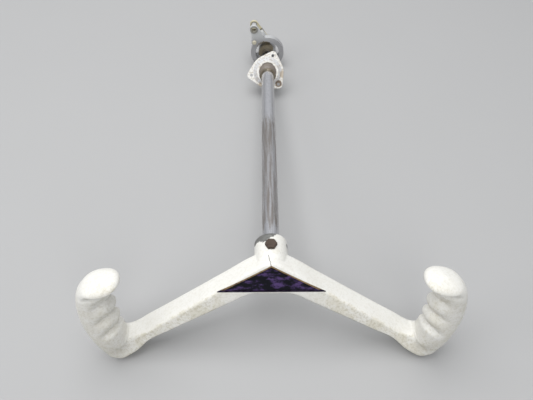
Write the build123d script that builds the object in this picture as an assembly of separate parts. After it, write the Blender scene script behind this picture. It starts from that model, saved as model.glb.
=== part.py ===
from build123d import *

import os
from math import cos, radians, sin, tan

# Aircraft control yoke: ram's-horn wheel, sliding shaft, self-aligning panel bearing, aileron crank.
# Millimetres. Origin at the centre of the panel flange's mounting face, on the shaft's axis.
# +Y runs forward along the shaft (away from the pilot), +X to the pilot's right, +Z up.

# Shaft
SHAFT_OD = 15.875
SHAFT_WALL = 1.65
PLUG_LENGTH = 34.0

# Clearances
RUN_FIT = 0.05
SEAT_FIT = 0.05
BOLT_FIT = 0.1

# Panel bearing
FLANGE_TILT = 30.0
FLANGE_PLATE_T = 3.0
FLANGE_R = 21.0
FLANGE_BOSS_H = 2.4
FLANGE_BOSS_R = 18.5
FLANGE_BOSS_DRAFT = 4.6
FLANGE_EDGE_R = 1.0
FLANGE_HOLE_PCD = 43.2
FLANGE_HOLE_R = 1.95
FLANGE_HOLE_COUNT = 3
FLANGE_HOLE_START = 71.3
FLANGE_LOBE_R = 5.6
SPOT_FACE_R = 4.6
SPOT_FACE_DEPTH = 1.0
SPIGOT_R = 16.0
SPIGOT_H = 9.5
SWIVEL_ROOM = 1.1
BALL_R = 12.5
BALL_HALF_LENGTH = 7.6
RETAINER_WALL = 0.5
RETAINER_START = 2.5
RETAINER_LENGTH = 4.0
SNAP_RING_T = 1.2
SNAP_RING_WIDTH = 2.0
SNAP_GROOVE_DEPTH = 0.8
SNAP_RING_GAP = 40.0

# Bush liner
LINER_WALL = 1.16
LINER_LIP_T = 1.2
LINER_LIP_W = 0.7
LINER_TAIL = 2.0
LINER_END_PLAY = 0.15
CLIP_T = 1.0
CLIP_GROOVE = 0.4
CLIP_STAND = 0.85

# Yoke wheel: the hub
YOKE_REACH = 327.0
HUB_R = 15.0
HUB_LENGTH = 30.0
HUB_BORE_DEPTH = 29.0
HUB_EDGE_R = 2.5

# Yoke wheel: the arms, drawn in a plane that leans back from the pilot
ARM_LEAN = 20.0
ARM_HALF_DEPTH = 10.0
ARM_CREST = 15.8
ARM_ARCH = 21.0
ARM_ARCH_HALF_WIDTH = 19.0
ARM_CREST_ANGLE = 32.0
ARM_BELLY_ANGLE = 28.5
ARM_SHOULDER_X = 15.0
ARM_SHOULDER_V = 10.6
ARM_SECTION_COUNT = 5
ARM_END_INSET = 16.0
ARM_SPLAY = 5.4
ARM_POWER = 4.0

# Yoke wheel: the ram's-horn grips
GRIP_LEAD = 31.0
GRIP_INNER_X = 132.25
GRIP_WIDTH = 32.25
GRIP_BOW = 3.5
GRIP_BOW_PEAK = 0.36
GRIP_HALF_DEPTH = 15.5
GRIP_POWER = 2.3
CROTCH_INSET = 2.8
CROTCH_LIFT = 3.74
CROTCH_R = 2.5
ELBOW_FAN = ((-97.0, 25.0), (-69.0, 32.0), (-48.0, 29.9), (-24.0, 25.8))
FINGER_COUNT = 3
FINGER_PITCH = 17.2
FINGER_DEPTH = 3.2
FINGER_LIFT = 24.5
FINGER_SLANT = 11.0
KNOB_HOOK = 10.2
KNOB_UNDER_SHARE = 0.75
KNOB_WIDTH = 33.5
KNOB_RISE = 9.8
KNOB_HALF_DEPTH = 14.5
KNOB_DOME = 8.6
KNOB_TILT = 7.0
KNOB_DOME_ANGLES = (0.0, 38.0, 65.0, 84.0)
KNOB_DOME_POWER = 0.6
NECK_HALF_DEPTH = 13.6
NECK_SET_BACK = 1.8
SECTION_POINT_COUNT = 16

# Badge in the centre web
BADGE_HALF_WIDTH = 48.0
BADGE_TOP = 9.5
BADGE_BOTTOM = -17.4
BADGE_RECESS = 2.2
BADGE_RIM_W = 1.3
BADGE_RIM_T = 1.7
BADGE_PLATE_T = 1.1
BADGE_GAP = 0.15

# Fasteners
BOLT_R = 2.38
BOLT_HEAD_AF = 9.5
BOLT_HEAD_H = 3.2
BOLT_SPOT_R = 6.6
BOLT_SPOT_DEPTH = 1.0
WASHER_R = 5.4
WASHER_T = 1.6
NUT_AF = 9.5
NUT_H = 6.4
NUT_SLOT_W = 1.8
NUT_SLOT_D = 2.4
NUT_SLOT_COUNT = 6
BOLT_TAIL = 2.2
COTTER_R = 0.7
COTTER_REACH = 7.6
COTTER_EYE_R = 1.6
COTTER_EYE_T = 1.1
HUB_BOLT_BACK = 14.0

# Aileron crank
CRANK_FRONT_Y = 49.7
CRANK_RIM_R = 22.6
CRANK_RIM_W = 6.4
CRANK_DEPTH = 8.0
CRANK_HUB_R = 11.8
CRANK_HUB_LEAD = 2.0
CRANK_HUB_TAIL = 22.0
CRANK_WEB_T = 4.0
CRANK_SPOKE_COUNT = 3
CRANK_SPOKE_W = 7.0
CRANK_SPOKE_START = 88.0
CRANK_BOLT_BACK = 8.0
LEVER_ANGLE = 117.6
LEVER_STAND = 15.8
LEVER_EYE_R = 5.6
LEVER_ROOT_R = 9.0
LEVER_ROOT_SET = 10.0
LEVER_PLATE_T = 4.0
FORK_GAP = 10.6
FORK_ROOT_STAND = 5.5
REAR_PLATE_T = 3.0
CLEVIS_HOLE_R = 3.2
CLEVIS_BUSH_WALL = 1.0
CLEVIS_BUSH_LIP = 1.0
CLEVIS_LIP_T = 0.7
LUG_ANGLE = 138.0
LUG_R = 4.0
LUG_STAND = 1.0
LUG_BOLT_R = 1.6
LUG_HEAD_R = 2.8
LUG_HEAD_H = 2.2
LUG_NUT_AF = 5.5
LUG_NUT_H = 2.8
DOWEL_R = 2.0
DOWEL_STAND = 3.7
DOWEL_DEPTH = 6.0

# Worked-out places
SHAFT_R = SHAFT_OD / 2
SHAFT_BORE_R = SHAFT_R - SHAFT_WALL
BALL_Y = 0.0
LINER_BORE_R = SHAFT_R + RUN_FIT
LINER_R = LINER_BORE_R + LINER_WALL
BALL_BORE_R = LINER_R + RUN_FIT
SEAT_R = BALL_R + SEAT_FIT
SEAT_BORE_R = SEAT_R + RETAINER_WALL
ARM_Y = -YOKE_REACH
HUB_REAR_Y = ARM_Y + HUB_LENGTH
HUB_FLOOR_Y = HUB_REAR_Y - HUB_BORE_DEPTH
HUB_BOLT_Y = HUB_REAR_Y - HUB_BOLT_BACK
GRIP_Y = ARM_Y - GRIP_LEAD
GRIP_OUTER_X = GRIP_INNER_X + GRIP_WIDTH
CROTCH_X = GRIP_INNER_X - CROTCH_INSET
CRANK_REAR_Y = CRANK_FRONT_Y + CRANK_DEPTH
FAR_CHEEK_Y = CRANK_FRONT_Y + LEVER_PLATE_T + FORK_GAP
FAR_CHEEK_END_Y = FAR_CHEEK_Y + REAR_PLATE_T
CRANK_HUB_FRONT_Y = CRANK_FRONT_Y - CRANK_HUB_LEAD
CRANK_HUB_REAR_Y = CRANK_REAR_Y + CRANK_HUB_TAIL
CRANK_BOLT_Y = CRANK_HUB_REAR_Y - CRANK_BOLT_BACK
LEVER_REACH = CRANK_RIM_R + LEVER_STAND
LEVER_EYE_X = LEVER_REACH * cos(radians(LEVER_ANGLE))
LEVER_EYE_Z = LEVER_REACH * sin(radians(LEVER_ANGLE))


def turned(*profile):
    """A solid of revolution about the shaft's axis from (radius, y) points."""
    return revolve(make_face(Polyline(*profile, close=True)), Axis.Y, 360)


def ring(inner_r, outer_r, start_y, end_y):
    """A plain ring, or a disc where the inner radius is zero, about the shaft's axis."""
    return turned((inner_r, start_y), (outer_r, start_y), (outer_r, end_y), (inner_r, end_y))


def rod_y(radius, start_y, end_y, x=0.0, z=0.0):
    """A round rod along Y at (x, z)."""
    return Pos(x, (start_y + end_y) / 2, z) * Rot(90, 0, 0) * Cylinder(radius, abs(end_y - start_y))


def rod_z(radius, start_z, end_z, y):
    """A round rod along Z on the plane of symmetry."""
    return Pos(0, y, (start_z + end_z) / 2) * Cylinder(radius, abs(end_z - start_z))


def plate_y(sketch, start_y, end_y):
    """A plate cut to a sketch drawn in X and Z as the pilot sees it, between two Y places."""
    return extrude(Plane((0, end_y, 0), x_dir=(1, 0, 0), z_dir=(0, -1, 0)) * sketch, end_y - start_y)


def around(angle, radius):
    """X and Z of a point at an angle, seen by the pilot, and a radius from the axis."""
    return radius * cos(radians(angle)), radius * sin(radians(angle))


def hexagon(across_flats):
    """A hexagon of a given size across its flats."""
    return RegularPolygon(across_flats / 2, 6, major_radius=False)


def flange_hole_places():
    """X and Z of each panel screw hole."""
    step = 360 / FLANGE_HOLE_COUNT
    return [around(FLANGE_HOLE_START + step * k, FLANGE_HOLE_PCD / 2) for k in range(FLANGE_HOLE_COUNT)]


def leaned(shape):
    """A shape drawn about the ball's centre, leaned back as the panel is."""
    return Pos(0, BALL_Y, 0) * Rot(-FLANGE_TILT, 0, 0) * shape


def flange_face():
    """The flange's three-lobed plate and domed boss, square to the panel, with its screw holes."""
    places = flange_hole_places()
    outline = [Circle(FLANGE_R)] + [Pos(x, z) * Circle(FLANGE_LOBE_R) for x, z in places]
    edges = ShapeList(edge for sketch in outline for edge in sketch.edges())
    plate = plate_y(make_hull(edges), -FLANGE_PLATE_T, 0)
    plate = fillet(plate.faces().sort_by(Axis.Y)[0].edges(), FLANGE_EDGE_R)
    front_y = -FLANGE_PLATE_T - FLANGE_BOSS_H
    face = plate + turned(
        (0, front_y), (FLANGE_BOSS_R - FLANGE_BOSS_DRAFT, front_y), (FLANGE_BOSS_R, -FLANGE_PLATE_T),
        (FLANGE_BOSS_R, -FLANGE_PLATE_T / 2), (0, -FLANGE_PLATE_T / 2),
    )
    for x, z in places:
        face -= rod_y(FLANGE_HOLE_R, front_y, 0, x, z)
    return face - rod_y(SPOT_FACE_R, front_y, SPOT_FACE_DEPTH - FLANGE_PLATE_T, *places[-1])


def panel_flange():
    """Cast housing: the leaned flange, a barrel along the shaft behind it and the ball's front seat."""
    barrel = ring(0, SPIGOT_R, BALL_Y - SPIGOT_R, BALL_Y + SPIGOT_H)
    barrel &= leaned(ring(0, 2 * SPIGOT_R, -FLANGE_PLATE_T / 2, 2 * SPIGOT_R))
    body = leaned(flange_face()) + barrel
    body -= Pos(0, BALL_Y, 0) * Sphere(SEAT_R)
    body -= ring(0, SEAT_BORE_R, BALL_Y, BALL_Y + 2 * SPIGOT_R)
    body -= ring(0, SEAT_BORE_R + SNAP_GROOVE_DEPTH, *snap_ring_span(SEAT_FIT))
    return body - rod_y(LINER_R + LINER_LIP_W + SWIVEL_ROOM, BALL_Y - 2 * SPIGOT_R, BALL_Y)


def retainer_end_y():
    """Y of the retainer's rear face."""
    return BALL_Y + RETAINER_START + RETAINER_LENGTH


def snap_ring_span(room):
    """First and last Y of the snap ring, with room to each side for its groove."""
    start = retainer_end_y() + 2 * SEAT_FIT
    return start - room, start + SNAP_RING_T + room


def ball_retainer():
    """Ring with the ball's rear seat, slid into the flange from behind."""
    blank = ring(0, SEAT_BORE_R - SEAT_FIT, BALL_Y + RETAINER_START, retainer_end_y())
    return blank - Pos(0, BALL_Y, 0) * Sphere(SEAT_R)


def snap_ring():
    """Open spring ring in the flange's groove behind the retainer."""
    outer_r = SEAT_BORE_R + SNAP_GROOVE_DEPTH - SEAT_FIT
    start, end = snap_ring_span(0)
    section = Polyline(
        (outer_r - SNAP_RING_WIDTH, start), (outer_r, start), (outer_r, end),
        (outer_r - SNAP_RING_WIDTH, end), close=True,
    )
    return Rot(0, SNAP_RING_GAP, 0) * revolve(make_face(section), Axis.Y, 360 - SNAP_RING_GAP)


def ball_bush():
    """Truncated ball that swivels in the flange and carries the liner."""
    ball = Pos(0, BALL_Y, 0) * Sphere(BALL_R)
    return ball & ring(BALL_BORE_R, BALL_R, BALL_Y - BALL_HALF_LENGTH, BALL_Y + BALL_HALF_LENGTH)


def liner_clip_span():
    """First and last Y of the clip behind the ball."""
    start = BALL_Y + BALL_HALF_LENGTH + LINER_END_PLAY
    return start, start + CLIP_T


def bush_liner():
    """Sleeve that turns in the ball, with a front lip and a clip groove behind."""
    lip_rear = BALL_Y - BALL_HALF_LENGTH - LINER_END_PLAY
    clip_start, clip_end = liner_clip_span()
    sleeve = ring(LINER_BORE_R, LINER_R, lip_rear - LINER_LIP_T, clip_end + LINER_TAIL)
    sleeve += ring(LINER_BORE_R, LINER_R + LINER_LIP_W, lip_rear - LINER_LIP_T, lip_rear)
    groove_r = LINER_R - CLIP_GROOVE
    return sleeve - ring(groove_r, LINER_R + LINER_LIP_W, clip_start, clip_end)


def liner_clip():
    """Ring that keeps the liner in the ball."""
    return ring(LINER_R - CLIP_GROOVE, LINER_R + CLIP_STAND, *liner_clip_span())


def shaft_tube():
    """Polished tube from the yoke's hub to the crank's hub, drilled for both cross bolts."""
    tube = ring(SHAFT_BORE_R, SHAFT_R, HUB_FLOOR_Y, CRANK_HUB_REAR_Y)
    for bolt_y in (HUB_BOLT_Y, CRANK_BOLT_Y):
        tube -= rod_z(BOLT_R + BOLT_FIT, -SHAFT_OD, SHAFT_OD, bolt_y)
    return tube


def tube_plug(start_y, bolt_y):
    """Solid plug that stops a cross bolt from crushing the tube."""
    plug = ring(0, SHAFT_BORE_R - SEAT_FIT, start_y, start_y + PLUG_LENGTH)
    return plug - rod_z(BOLT_R + BOLT_FIT, -SHAFT_OD, SHAFT_OD, bolt_y)


def arm_point(u, v):
    """A point of the arms' leaning plane: u to the right, v up the lean."""
    lean = radians(ARM_LEAN)
    return Vector(u, ARM_Y + v * sin(lean), v * cos(lean))


def crest(u):
    """Upper line of an arm in its leaning plane."""
    return ARM_SHOULDER_V - tan(radians(ARM_CREST_ANGLE)) * (u - ARM_SHOULDER_X)


def belly(u):
    """Lower line of an arm in its leaning plane, level under the web."""
    return -ARM_ARCH - tan(radians(ARM_BELLY_ANGLE)) * max(u - ARM_ARCH_HALF_WIDTH, 0)


def crotch_z():
    """Height of the crotch's centre, set above the arm's upper line."""
    return arm_point(0, crest(CROTCH_X)).Z + CROTCH_LIFT


def finger_z(ridges):
    """Height on the grip, counted in finger ridges from the lowest one."""
    return crotch_z() + FINGER_LIFT + FINGER_PITCH * ridges


def between(start, end, share):
    """A value a share of the way from start to end."""
    return start + (end - start) * share


def arm_stations():
    """Cross sections of the right arm: upper point, lower point, half depth, squareness."""
    shoulder = ARM_ARCH_HALF_WIDTH
    pairs = [
        (arm_point(0, ARM_CREST), arm_point(0, belly(0))),
        (arm_point(shoulder, crest(shoulder)), arm_point(shoulder - ARM_SPLAY / 2, belly(0))),
    ]
    for k in range(1, ARM_SECTION_COUNT + 1):
        u = between(shoulder, CROTCH_X - ARM_END_INSET, k / ARM_SECTION_COUNT)
        upper_u, lower_u = u + ARM_SPLAY, u - ARM_SPLAY
        pairs.append((arm_point(upper_u, crest(upper_u)), arm_point(lower_u, belly(lower_u))))
    return [(upper, lower, ARM_HALF_DEPTH, ARM_POWER) for upper, lower in pairs]


def elbow_stations():
    """Cross sections that fan round the crotch, from the arm's direction up into the grip's."""
    stations = []
    for step, (angle, reach) in enumerate(ELBOW_FAN, start=1):
        share = step / (len(ELBOW_FAN) + 1)
        x, z = cos(radians(angle)), sin(radians(angle))
        inner_y, outer_y = (
            between(arm_point(0, level / cos(radians(ARM_LEAN))).Y, GRIP_Y, share)
            for level in (crotch_z(), crotch_z() - reach)
        )
        stations.append((
            Vector(CROTCH_X + CROTCH_R * x, inner_y, crotch_z() + CROTCH_R * z),
            Vector(CROTCH_X + reach * x, outer_y, crotch_z() + reach * z),
            between(ARM_HALF_DEPTH, GRIP_HALF_DEPTH, share),
            between(ARM_POWER, GRIP_POWER, share),
        ))
    return stations


def knob_inner_x():
    """X of the knob's hooked tip."""
    return GRIP_INNER_X - KNOB_HOOK


def knob_outer_x():
    """X of the knob's outer side."""
    return knob_inner_x() + KNOB_WIDTH


def grip_stations():
    """Cross sections up the grip: a ridge and a valley for each finger."""
    stations = []
    halves = 2 * FINGER_COUNT
    for half in range(halves):
        share = half / halves
        z = finger_z(half / 2)
        outer_x = GRIP_OUTER_X - GRIP_BOW * (share / GRIP_BOW_PEAK - 1) ** 2
        y = GRIP_Y + NECK_SET_BACK * share
        stations.append((
            Vector(GRIP_INNER_X + FINGER_DEPTH * (half % 2), y, z),
            Vector(outer_x, y, z - FINGER_SLANT * (1 - share)),
            between(GRIP_HALF_DEPTH, NECK_HALF_DEPTH, share),
            GRIP_POWER,
        ))
    return stations


def knob_stations():
    """Cross sections of the knob: it hooks inwards over the top finger and closes in a dome."""
    neck_z = finger_z(FINGER_COUNT - 0.5)
    neck_y = GRIP_Y + NECK_SET_BACK
    under_z = neck_z + KNOB_RISE / 2
    stations = [(
        Vector(GRIP_INNER_X - KNOB_HOOK * KNOB_UNDER_SHARE, neck_y, under_z),
        Vector(knob_outer_x(), neck_y, under_z - KNOB_TILT * KNOB_UNDER_SHARE),
        NECK_HALF_DEPTH,
        GRIP_POWER,
    )]
    middle = (knob_inner_x() + knob_outer_x()) / 2
    for angle in KNOB_DOME_ANGLES:
        size = cos(radians(angle)) ** KNOB_DOME_POWER
        z = neck_z + KNOB_RISE + KNOB_DOME * sin(radians(angle))
        stations.append((
            Vector(middle - KNOB_WIDTH / 2 * size, GRIP_Y, z),
            Vector(middle + KNOB_WIDTH / 2 * size, GRIP_Y, z - KNOB_TILT * size),
            KNOB_HALF_DEPTH * size,
            GRIP_POWER,
        ))
    return stations


def section_face(upper, lower, half_depth, power):
    """Superellipse between two outline points, of a given half depth and squareness."""
    along = lower - upper
    plane = Plane((upper + lower) / 2, x_dir=along, z_dir=along.cross(Vector(0, 1, 0)))
    points = []
    for k in range(SECTION_POINT_COUNT):
        turn = radians(360 / SECTION_POINT_COUNT * k)
        c, s = cos(turn), sin(turn)
        x = along.length / 2 * abs(c) ** (2 / power) * (1 if c > 0 else -1)
        y = half_depth * abs(s) ** (2 / power) * (1 if s > 0 else -1)
        points.append((x, y))
    return plane * make_face(Spline(*points, periodic=True))


def badge_plane():
    """Plane of the web's front face, x to the right and y up the lean."""
    lean = radians(ARM_LEAN)
    normal = Vector(0, -cos(lean), sin(lean))
    return Plane(Vector(0, ARM_Y, 0) + normal * ARM_HALF_DEPTH, x_dir=(1, 0, 0), z_dir=normal)


def badge_outline(inset):
    """The badge's triangle, set in from the edge of its recess."""
    triangle = Polyline(
        (0, BADGE_TOP), (-BADGE_HALF_WIDTH, BADGE_BOTTOM), (BADGE_HALF_WIDTH, BADGE_BOTTOM), close=True
    )
    face = make_face(triangle)
    return offset(face, -inset, kind=Kind.INTERSECTION) if inset else face


def yoke_wheel():
    """One casting: hub, two leaning arms that meet in a web, and the two ram's-horn grips."""
    stations = arm_stations() + elbow_stations() + grip_stations() + knob_stations()
    right = loft([section_face(*station) for station in stations])
    hub = ring(0, HUB_R, ARM_Y, HUB_REAR_Y)
    hub = fillet(hub.faces().sort_by(Axis.Y)[-1].edges(), HUB_EDGE_R)
    body = right + mirror(right, Plane.YZ) + hub
    body -= ring(0, SHAFT_R + SEAT_FIT, HUB_FLOOR_Y, HUB_REAR_Y)
    seat = hub_bolt_seat()
    body -= rod_z(BOLT_R + BOLT_FIT, -HUB_R, HUB_R, HUB_BOLT_Y)
    body -= rod_z(BOLT_SPOT_R, seat, HUB_R + BOLT_SPOT_R, HUB_BOLT_Y)
    body -= rod_z(BOLT_SPOT_R, -seat, -HUB_R - BOLT_SPOT_R, HUB_BOLT_Y)
    floor = badge_plane().offset(-BADGE_RECESS)
    return body - extrude(floor * badge_outline(0), BADGE_RECESS + ARM_HALF_DEPTH)


def badge_rim():
    """Thin metal frame round the badge, standing on the recess's floor."""
    floor = badge_plane().offset(-BADGE_RECESS)
    band = badge_outline(BADGE_GAP) - badge_outline(BADGE_GAP + BADGE_RIM_W)
    return extrude(floor * band, BADGE_RIM_T)


def badge_plate():
    """Bare enamelled plate inside the rim."""
    floor = badge_plane().offset(-BADGE_RECESS)
    return extrude(floor * badge_outline(2 * BADGE_GAP + BADGE_RIM_W), BADGE_PLATE_T)


def hub_bolt_seat():
    """Height of the yoke hub's spot faces above the axis."""
    return HUB_R - BOLT_SPOT_DEPTH


def crank_bolt_seat():
    """Height of the crank hub's spot faces above the axis."""
    return CRANK_HUB_R - BOLT_SPOT_DEPTH


def nut_end(seat):
    """Z of a castle nut's free end below the axis."""
    return -seat - WASHER_T - NUT_H


def cotter_z(seat):
    """Z of the cotter pin, in the middle of the nut's slots."""
    return nut_end(seat) + NUT_SLOT_D / 2


def cross_bolt(seat, y):
    """Hex-headed bolt with its head on top and a cotter hole near its end."""
    head = extrude(Pos(0, y, seat) * hexagon(BOLT_HEAD_AF), BOLT_HEAD_H)
    head = chamfer(head.faces().sort_by(Axis.Z)[-1].edges(), BOLT_HEAD_H / 6)
    bolt = head + rod_z(BOLT_R, nut_end(seat) - BOLT_TAIL, seat, y)
    return bolt - Pos(0, y, cotter_z(seat)) * Rot(0, 90, 0) * Cylinder(COTTER_R + BOLT_FIT, 4 * BOLT_R)


def bolt_washer(seat, y):
    """Plain washer under a castle nut."""
    hole = rod_z(BOLT_R + BOLT_FIT, -seat - WASHER_T, -seat, y)
    return rod_z(WASHER_R, -seat - WASHER_T, -seat, y) - hole


def castle_nut(seat, y):
    """Hex nut with slots across its free end for the cotter pin."""
    end = nut_end(seat)
    nut = extrude(Pos(0, y, end) * Rot(0, 0, 30) * hexagon(NUT_AF), NUT_H)
    nut -= rod_z(BOLT_R + BOLT_FIT, end, end + NUT_H, y)
    for k in range(NUT_SLOT_COUNT // 2):
        slot = Box(2 * NUT_AF, NUT_SLOT_W, NUT_SLOT_D)
        nut -= Pos(0, y, end + NUT_SLOT_D / 2) * Rot(0, 0, 360 / NUT_SLOT_COUNT * k) * slot
    return nut


def cotter_pin(seat, y):
    """Split pin through the nut's slots, with its eye at one end."""
    z = cotter_z(seat)
    pin = Pos(0, y, z) * Rot(0, 90, 0) * Cylinder(COTTER_R, 2 * COTTER_REACH)
    band = Circle(COTTER_EYE_R + COTTER_R) - Circle(COTTER_EYE_R)
    eye_x = COTTER_REACH + COTTER_EYE_R + COTTER_R / 2
    return pin + extrude(Pos(eye_x, y, z - COTTER_EYE_T / 2) * band, COTTER_EYE_T)


def lever_outline():
    """Tapered lever from the crank's rim to its rounded eye."""
    root = Pos(*around(LEVER_ANGLE, CRANK_RIM_R - LEVER_ROOT_SET)) * Circle(LEVER_ROOT_R)
    eye = Pos(LEVER_EYE_X, LEVER_EYE_Z) * Circle(LEVER_EYE_R)
    return make_hull((root + eye).edges())


def lug_place():
    """X and Z of the lug bolt at the lever's root."""
    return around(LUG_ANGLE, CRANK_RIM_R + LUG_STAND)


def dowel_place():
    """X and Z of the dowel, on the lever's centre line."""
    return around(LEVER_ANGLE, CRANK_RIM_R + DOWEL_STAND)


def cheek_outline():
    """The lever with its bolt lug, open inside the crank's rim."""
    foot = Pos(*around(LEVER_ANGLE, CRANK_RIM_R + LUG_STAND)) * Circle(LUG_R)
    lug = Pos(*lug_place()) * Circle(LUG_R)
    return lever_outline() + make_hull((foot + lug).edges()) - Circle(CRANK_RIM_R - CRANK_RIM_W)


def drilled_cheek(start_y, end_y):
    """One cheek of the forked lever, bored for its bush and the lug bolt."""
    plate = plate_y(cheek_outline(), start_y, end_y)
    plate -= rod_y(CLEVIS_HOLE_R + CLEVIS_BUSH_WALL, start_y, end_y, LEVER_EYE_X, LEVER_EYE_Z)
    return plate - rod_y(LUG_BOLT_R + BOLT_FIT, start_y, end_y, *lug_place())


def dowel_hole(start_y, end_y):
    """Hole for the dowel on the lever's centre line."""
    return rod_y(DOWEL_R + SEAT_FIT, start_y, end_y, *dowel_place())


def crank_spokes():
    """Spokes between the hub and the rim, at the back of the rim."""
    reach = CRANK_RIM_R - CRANK_RIM_W / 2
    spokes = Part()
    for k in range(CRANK_SPOKE_COUNT):
        spoke = Pos(reach / 2, 0) * Rectangle(reach, CRANK_SPOKE_W)
        spoke = Rot(0, 0, CRANK_SPOKE_START + 360 / CRANK_SPOKE_COUNT * k) * spoke
        spokes += plate_y(spoke, CRANK_REAR_Y - CRANK_WEB_T, CRANK_REAR_Y)
    return spokes


def crank_wheel():
    """Cast crank: open rim on three spokes, a long hub, the near cheek and the fork's root."""
    rim = Circle(CRANK_RIM_R) - Circle(CRANK_RIM_R - CRANK_RIM_W)
    near_end = CRANK_FRONT_Y + LEVER_PLATE_T
    root = plate_y(cheek_outline() & Circle(CRANK_RIM_R + FORK_ROOT_STAND), near_end, FAR_CHEEK_Y)
    body = plate_y(rim, CRANK_FRONT_Y, CRANK_REAR_Y) + crank_spokes()
    body += ring(0, CRANK_HUB_R, CRANK_HUB_FRONT_Y, CRANK_HUB_REAR_Y)
    body = body + drilled_cheek(CRANK_FRONT_Y, near_end) + root
    body -= rod_y(LUG_BOLT_R + BOLT_FIT, CRANK_FRONT_Y, FAR_CHEEK_Y, *lug_place())
    body -= dowel_hole(FAR_CHEEK_Y - DOWEL_DEPTH, FAR_CHEEK_Y)
    body -= ring(0, SHAFT_R + SEAT_FIT, CRANK_HUB_FRONT_Y, CRANK_HUB_REAR_Y)
    seat = crank_bolt_seat()
    body -= rod_z(BOLT_R + BOLT_FIT, -CRANK_HUB_R, CRANK_HUB_R, CRANK_BOLT_Y)
    body -= rod_z(BOLT_SPOT_R, seat, CRANK_HUB_R + BOLT_SPOT_R, CRANK_BOLT_Y)
    return body - rod_z(BOLT_SPOT_R, -seat, -CRANK_HUB_R - BOLT_SPOT_R, CRANK_BOLT_Y)


def rear_cheek():
    """The lever's far cheek, a plate bolted and dowelled to the fork's root."""
    return drilled_cheek(FAR_CHEEK_Y, FAR_CHEEK_END_Y) - dowel_hole(FAR_CHEEK_Y, FAR_CHEEK_END_Y)


def cheek_dowel():
    """Dowel that keeps the far cheek in line with the near one."""
    return rod_y(DOWEL_R, FAR_CHEEK_Y - DOWEL_DEPTH, FAR_CHEEK_END_Y, *dowel_place())


def lug_bolt():
    """Round-headed bolt that holds the far cheek to the fork's root."""
    x, z = lug_place()
    head = rod_y(LUG_HEAD_R, CRANK_FRONT_Y - LUG_HEAD_H, CRANK_FRONT_Y, x, z)
    head = chamfer(head.faces().sort_by(Axis.Y)[0].edges(), LUG_HEAD_H / 3)
    return head + rod_y(LUG_BOLT_R, CRANK_FRONT_Y, FAR_CHEEK_END_Y + LUG_NUT_H, x, z)


def lug_nut():
    """Hex nut behind the far cheek."""
    start, end = FAR_CHEEK_END_Y, FAR_CHEEK_END_Y + LUG_NUT_H
    x, z = lug_place()
    nut = plate_y(Pos(x, z) * hexagon(LUG_NUT_AF), start, end)
    return nut - rod_y(LUG_BOLT_R + BOLT_FIT, start, end, x, z)


def clevis_bushes():
    """Lipped bush in each cheek's eye, lips outwards."""
    near_end = CRANK_FRONT_Y + LEVER_PLATE_T
    spans = [
        (CRANK_FRONT_Y, near_end, CRANK_FRONT_Y - CLEVIS_LIP_T, CRANK_FRONT_Y),
        (FAR_CHEEK_Y, FAR_CHEEK_END_Y, FAR_CHEEK_END_Y, FAR_CHEEK_END_Y + CLEVIS_LIP_T),
    ]
    outer_r = CLEVIS_HOLE_R + CLEVIS_BUSH_WALL - SEAT_FIT
    bushes = []
    for start, end, lip_start, lip_end in spans:
        bush = rod_y(outer_r, start, end, LEVER_EYE_X, LEVER_EYE_Z)
        bush += rod_y(outer_r + CLEVIS_BUSH_LIP, lip_start, lip_end, LEVER_EYE_X, LEVER_EYE_Z)
        first, last = min(start, lip_start), max(end, lip_end)
        bushes.append(bush - rod_y(CLEVIS_HOLE_R, first, last, LEVER_EYE_X, LEVER_EYE_Z))
    return Compound(children=bushes)


def build_parts():
    """Every node's name and solid."""
    hub_seat, crank_seat = hub_bolt_seat(), crank_bolt_seat()
    return {
        "panel_flange": panel_flange(),
        "ball_retainer": ball_retainer(),
        "snap_ring": snap_ring(),
        "ball_bush": ball_bush(),
        "bush_liner": bush_liner(),
        "liner_clip": liner_clip(),
        "shaft_tube": shaft_tube(),
        "hub_plug": tube_plug(HUB_FLOOR_Y, HUB_BOLT_Y),
        "crank_plug": tube_plug(CRANK_HUB_REAR_Y - PLUG_LENGTH, CRANK_BOLT_Y),
        "yoke_wheel": yoke_wheel(),
        "badge_rim": badge_rim(),
        "badge_plate": badge_plate(),
        "hub_bolt": cross_bolt(hub_seat, HUB_BOLT_Y),
        "hub_washer": bolt_washer(hub_seat, HUB_BOLT_Y),
        "hub_nut": castle_nut(hub_seat, HUB_BOLT_Y),
        "hub_cotter_pin": cotter_pin(hub_seat, HUB_BOLT_Y),
        "crank_wheel": crank_wheel(),
        "rear_cheek": rear_cheek(),
        "clevis_bushes": clevis_bushes(),
        "cheek_dowel": cheek_dowel(),
        "lug_bolt": lug_bolt(),
        "lug_nut": lug_nut(),
        "crank_bolt": cross_bolt(crank_seat, CRANK_BOLT_Y),
        "crank_washer": bolt_washer(crank_seat, CRANK_BOLT_Y),
        "crank_nut": castle_nut(crank_seat, CRANK_BOLT_Y),
        "crank_cotter_pin": cotter_pin(crank_seat, CRANK_BOLT_Y),
    }


os.makedirs("parts", exist_ok=True)
for name, shape in build_parts().items():
    export_step(shape, f"parts/{name}.step")
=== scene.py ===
"""Looks for an aircraft control yoke: a ram's-horn wheel on a sliding shaft, with its panel bearing and crank.

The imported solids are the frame. The yoke's casting is drawn anew as one fine surface that follows the same
sections, and every other solid keeps its shape and gets a worked finish.
"""

from __future__ import annotations

import logging
from collections.abc import Mapping
from dataclasses import dataclass
from enum import Enum
from functools import cache, reduce
from typing import NamedTuple

import bmesh
import bpy
import numpy as np
from mathutils import Matrix, Vector


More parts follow.
